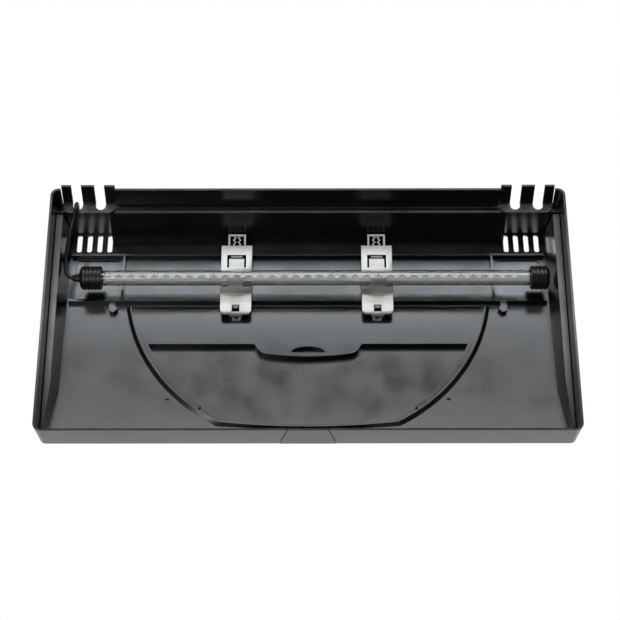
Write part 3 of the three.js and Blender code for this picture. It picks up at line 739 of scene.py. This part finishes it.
def capProfile(side, inner, outer, floor, ribs):
    # From the bore's floor, out round the mouth, over the ribs and down the domed end
    dome = outer - side * cap["domeLength"]
    pitch = (dome - inner) / ribs
    top, low = cap["radius"], cap["radius"] - cap["groove"]
    shoulder = top - cap["round"]
    points = [(floor, 0), (floor, cap["bore"]), (inner, cap["bore"]), (inner, low)]
    for i in range(ribs):
        start = inner + i * pitch
        for part, radius in zip(cap["ribPlaces"], (low, shoulder, top, top, shoulder)):
            points.append((start + pitch * part, radius))
        if i + 1 < ribs:
            points.append((start + pitch, low))
    for i in range(1, cap["domeRings"] + 1):
        angle = math.pi / 2 * i / cap["domeRings"]
        x = dome + side * cap["domeLength"] * math.sin(angle)
        points.append((x, top - cap["domeStep"] - cap["domeDrop"] * (1 - math.cos(angle))))
    points.append((outer, 0))
    return points


leftCap = capProfile(1, 243.8, 269.8, 258.4, 5)
rightCap = capProfile(-1, -263, -285.4, -277.4, 4)
turned("capLeft", leftCap, "capRubber", "end_cap_left")
turned("capRight", rightCap, "capRubber", "end_cap_right")
print("lamp turned")


# LEDs and resistors along the strip, by Geometry Nodes

strip = {
    "first": -243.9,
    "pitch": 13.95,
    "count": 35,
    "y": 57.1,
    "face": 40.1,
    "package": (5.2, 4.2, 1.3),
    "phosphor": (3.8, 2.9, 0.3),
    "resistor": (2.0, 1.2, 0.5),
    "resistorShift": (7, 2.2),
}


def makeStripRow(name, size, shift, top, count, finish):
    # Boxes under the strip's face, shifted from the LEDs' places by shift
    place = Vector((strip["first"] + shift[0], strip["y"] + shift[1], top - size[2] / 2))
    boxSize = [("Box Size", "NodeSocketVector", "Size", [side * mm for side in size])]
    row = repeatAlong(
        name, "GeometryNodeMeshCube", boxSize, place * mm, (strip["pitch"] * mm, 0, 0), count, finish,
    )
    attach(row, "lamp")


def makeLeds():
    face, count = strip["face"], strip["count"]
    under = face - strip["package"][2]
    makeStripRow(
        "ledHousings", strip["package"], (0, 0), face, count, "ledHousing",
    )
    makeStripRow(
        "ledLenses", strip["phosphor"], (0, 0), under, count, "ledPhosphor",
    )
    makeStripRow(
        "ledResistors", strip["resistor"], strip["resistorShift"], face, count - 1, "chipDark",
    )


makeLeds()
print("strip filled")


# Studio: see-through from below, pale from above

floorPlate = {"half": 4.0, "z": -0.0004, "colour": (0.82, 0.82, 0.81, 1)}  # metres


def makeStage():
    mesh = bpy.data.meshes.new("studioFloor")
    half, z = floorPlate["half"], floorPlate["z"]
    corners = [(-half, -half, z), (half, -half, z), (half, half, z), (-half, half, z)]
    mesh.from_pydata(corners, [], [(0, 1, 2, 3)])
    floor = bpy.data.objects.new("studioFloor", mesh)
    bpy.context.collection.objects.link(floor)
    material = bpy.data.materials.new("paleFloor")
    material.use_nodes = True
    tree = material.node_tree
    tree.nodes.clear()
    out = tree.nodes.new("ShaderNodeOutputMaterial")
    mix = tree.nodes.new("ShaderNodeMixShader")
    pale = tree.nodes.new("ShaderNodeBsdfDiffuse")
    pale.inputs["Color"].default_value = floorPlate["colour"]
    clear = tree.nodes.new("ShaderNodeBsdfTransparent")
    side = tree.nodes.new("ShaderNodeNewGeometry")
    tree.links.new(side.outputs["Backfacing"], mix.inputs[0])
    tree.links.new(pale.outputs[0], mix.inputs[1])
    tree.links.new(clear.outputs[0], mix.inputs[2])
    tree.links.new(mix.outputs[0], out.inputs["Surface"])
    mesh.materials.append(material)
    floor.visible_diffuse = False  # the open underside is lit from below
    floor.visible_glossy = False
    floor.visible_transmission = False
    floor.visible_shadow = False


# Metres and watts
lights = {
    "softboxBelow": {
        "place": (0, 0.6, -1.2), "target": (0, 0.1, 0.05), "size": (1.6, 0.18),
        "power": 5.4, "colour": (1, 0.985, 0.95),
    },
    "backBelow": {
        "place": (0, 1.18, -1.2), "target": (0, 0.1, 0.05), "size": (1.6, 0.26),
        "power": 9.0, "colour": (0.9, 0.955, 1),
    },
    "fillBelow": {
        "place": (0.9, -0.9, -1.4), "target": (0, 0, 0.05), "size": (1.1, 0.9),
        "power": 14, "colour": (1, 1, 1),
    },
    "keyAbove": {
        "place": (-1.7, -1.3, 1.7), "target": (0, 0, 0.05), "size": (1.4, 1.4),
        "power": 34, "colour": (1, 1, 1),
    },
    "rimAbove": {
        "place": (1.3, 1.2, 1.5), "target": (0, 0, 0.05), "size": (1.2, 1.2),
        "power": 18, "colour": (1, 1, 1),
    },
}


def makeLight(name, given):
    data = bpy.data.lights.new(name, "AREA")
    data.shape = "RECTANGLE"
    data.size, data.size_y = given["size"]
    data.energy = given["power"]
    data.color = given["colour"]
    lightObject = bpy.data.objects.new(name, data)
    place, target = Vector(given["place"]), Vector(given["target"])
    lightObject.location = place
    lightObject.rotation_euler = (target - place).to_track_quat("-Z", "Y").to_euler()
    lightObject.visible_camera = False
    bpy.context.collection.objects.link(lightObject)


# What the pieces reflect: dim below, bright above, with a soft change between the two heights
surroundings = {
    "tint": (0.96, 0.98, 1.0, 1),
    "below": 0.07,
    "above": 0.85,
    "changeFrom": -0.25,
    "changeTo": 0.35,
}


def makeWorld():
    # The camera sees plain white behind the piece
    world = bpy.data.worlds.new("studioWorld")
    bpy.context.scene.world = world
    world.use_nodes = True
    tree = world.node_tree
    back = tree.nodes["Background"]
    back.inputs["Color"].default_value = (1, 1, 1, 1)
    back.inputs["Strength"].default_value = 1.0
    soft = tree.nodes.new("ShaderNodeBackground")
    soft.inputs["Color"].default_value = surroundings["tint"]
    direction = tree.nodes.new("ShaderNodeTexCoord").outputs["Generated"]
    height = tree.nodes.new("ShaderNodeSeparateXYZ")
    tree.links.new(direction, height.inputs[0])
    strength = ramped(
        tree, height.outputs["Z"], surroundings["below"], surroundings["above"],
        surroundings["changeFrom"], surroundings["changeTo"],
    )
    tree.links.new(strength, soft.inputs["Strength"])
    mix = tree.nodes.new("ShaderNodeMixShader")
    rays = tree.nodes.new("ShaderNodeLightPath")
    tree.links.new(rays.outputs["Is Camera Ray"], mix.inputs[0])
    tree.links.new(soft.outputs[0], mix.inputs[1])
    tree.links.new(back.outputs[0], mix.inputs[2])
    tree.links.new(mix.outputs[0], tree.nodes["World Output"].inputs["Surface"])


makeStage()
makeWorld()
for lightName, given in lights.items():
    makeLight(lightName, given)
bpy.context.scene.view_settings.view_transform = "Standard"
bpy.context.scene.view_settings.look = "None"
print("studio lit")
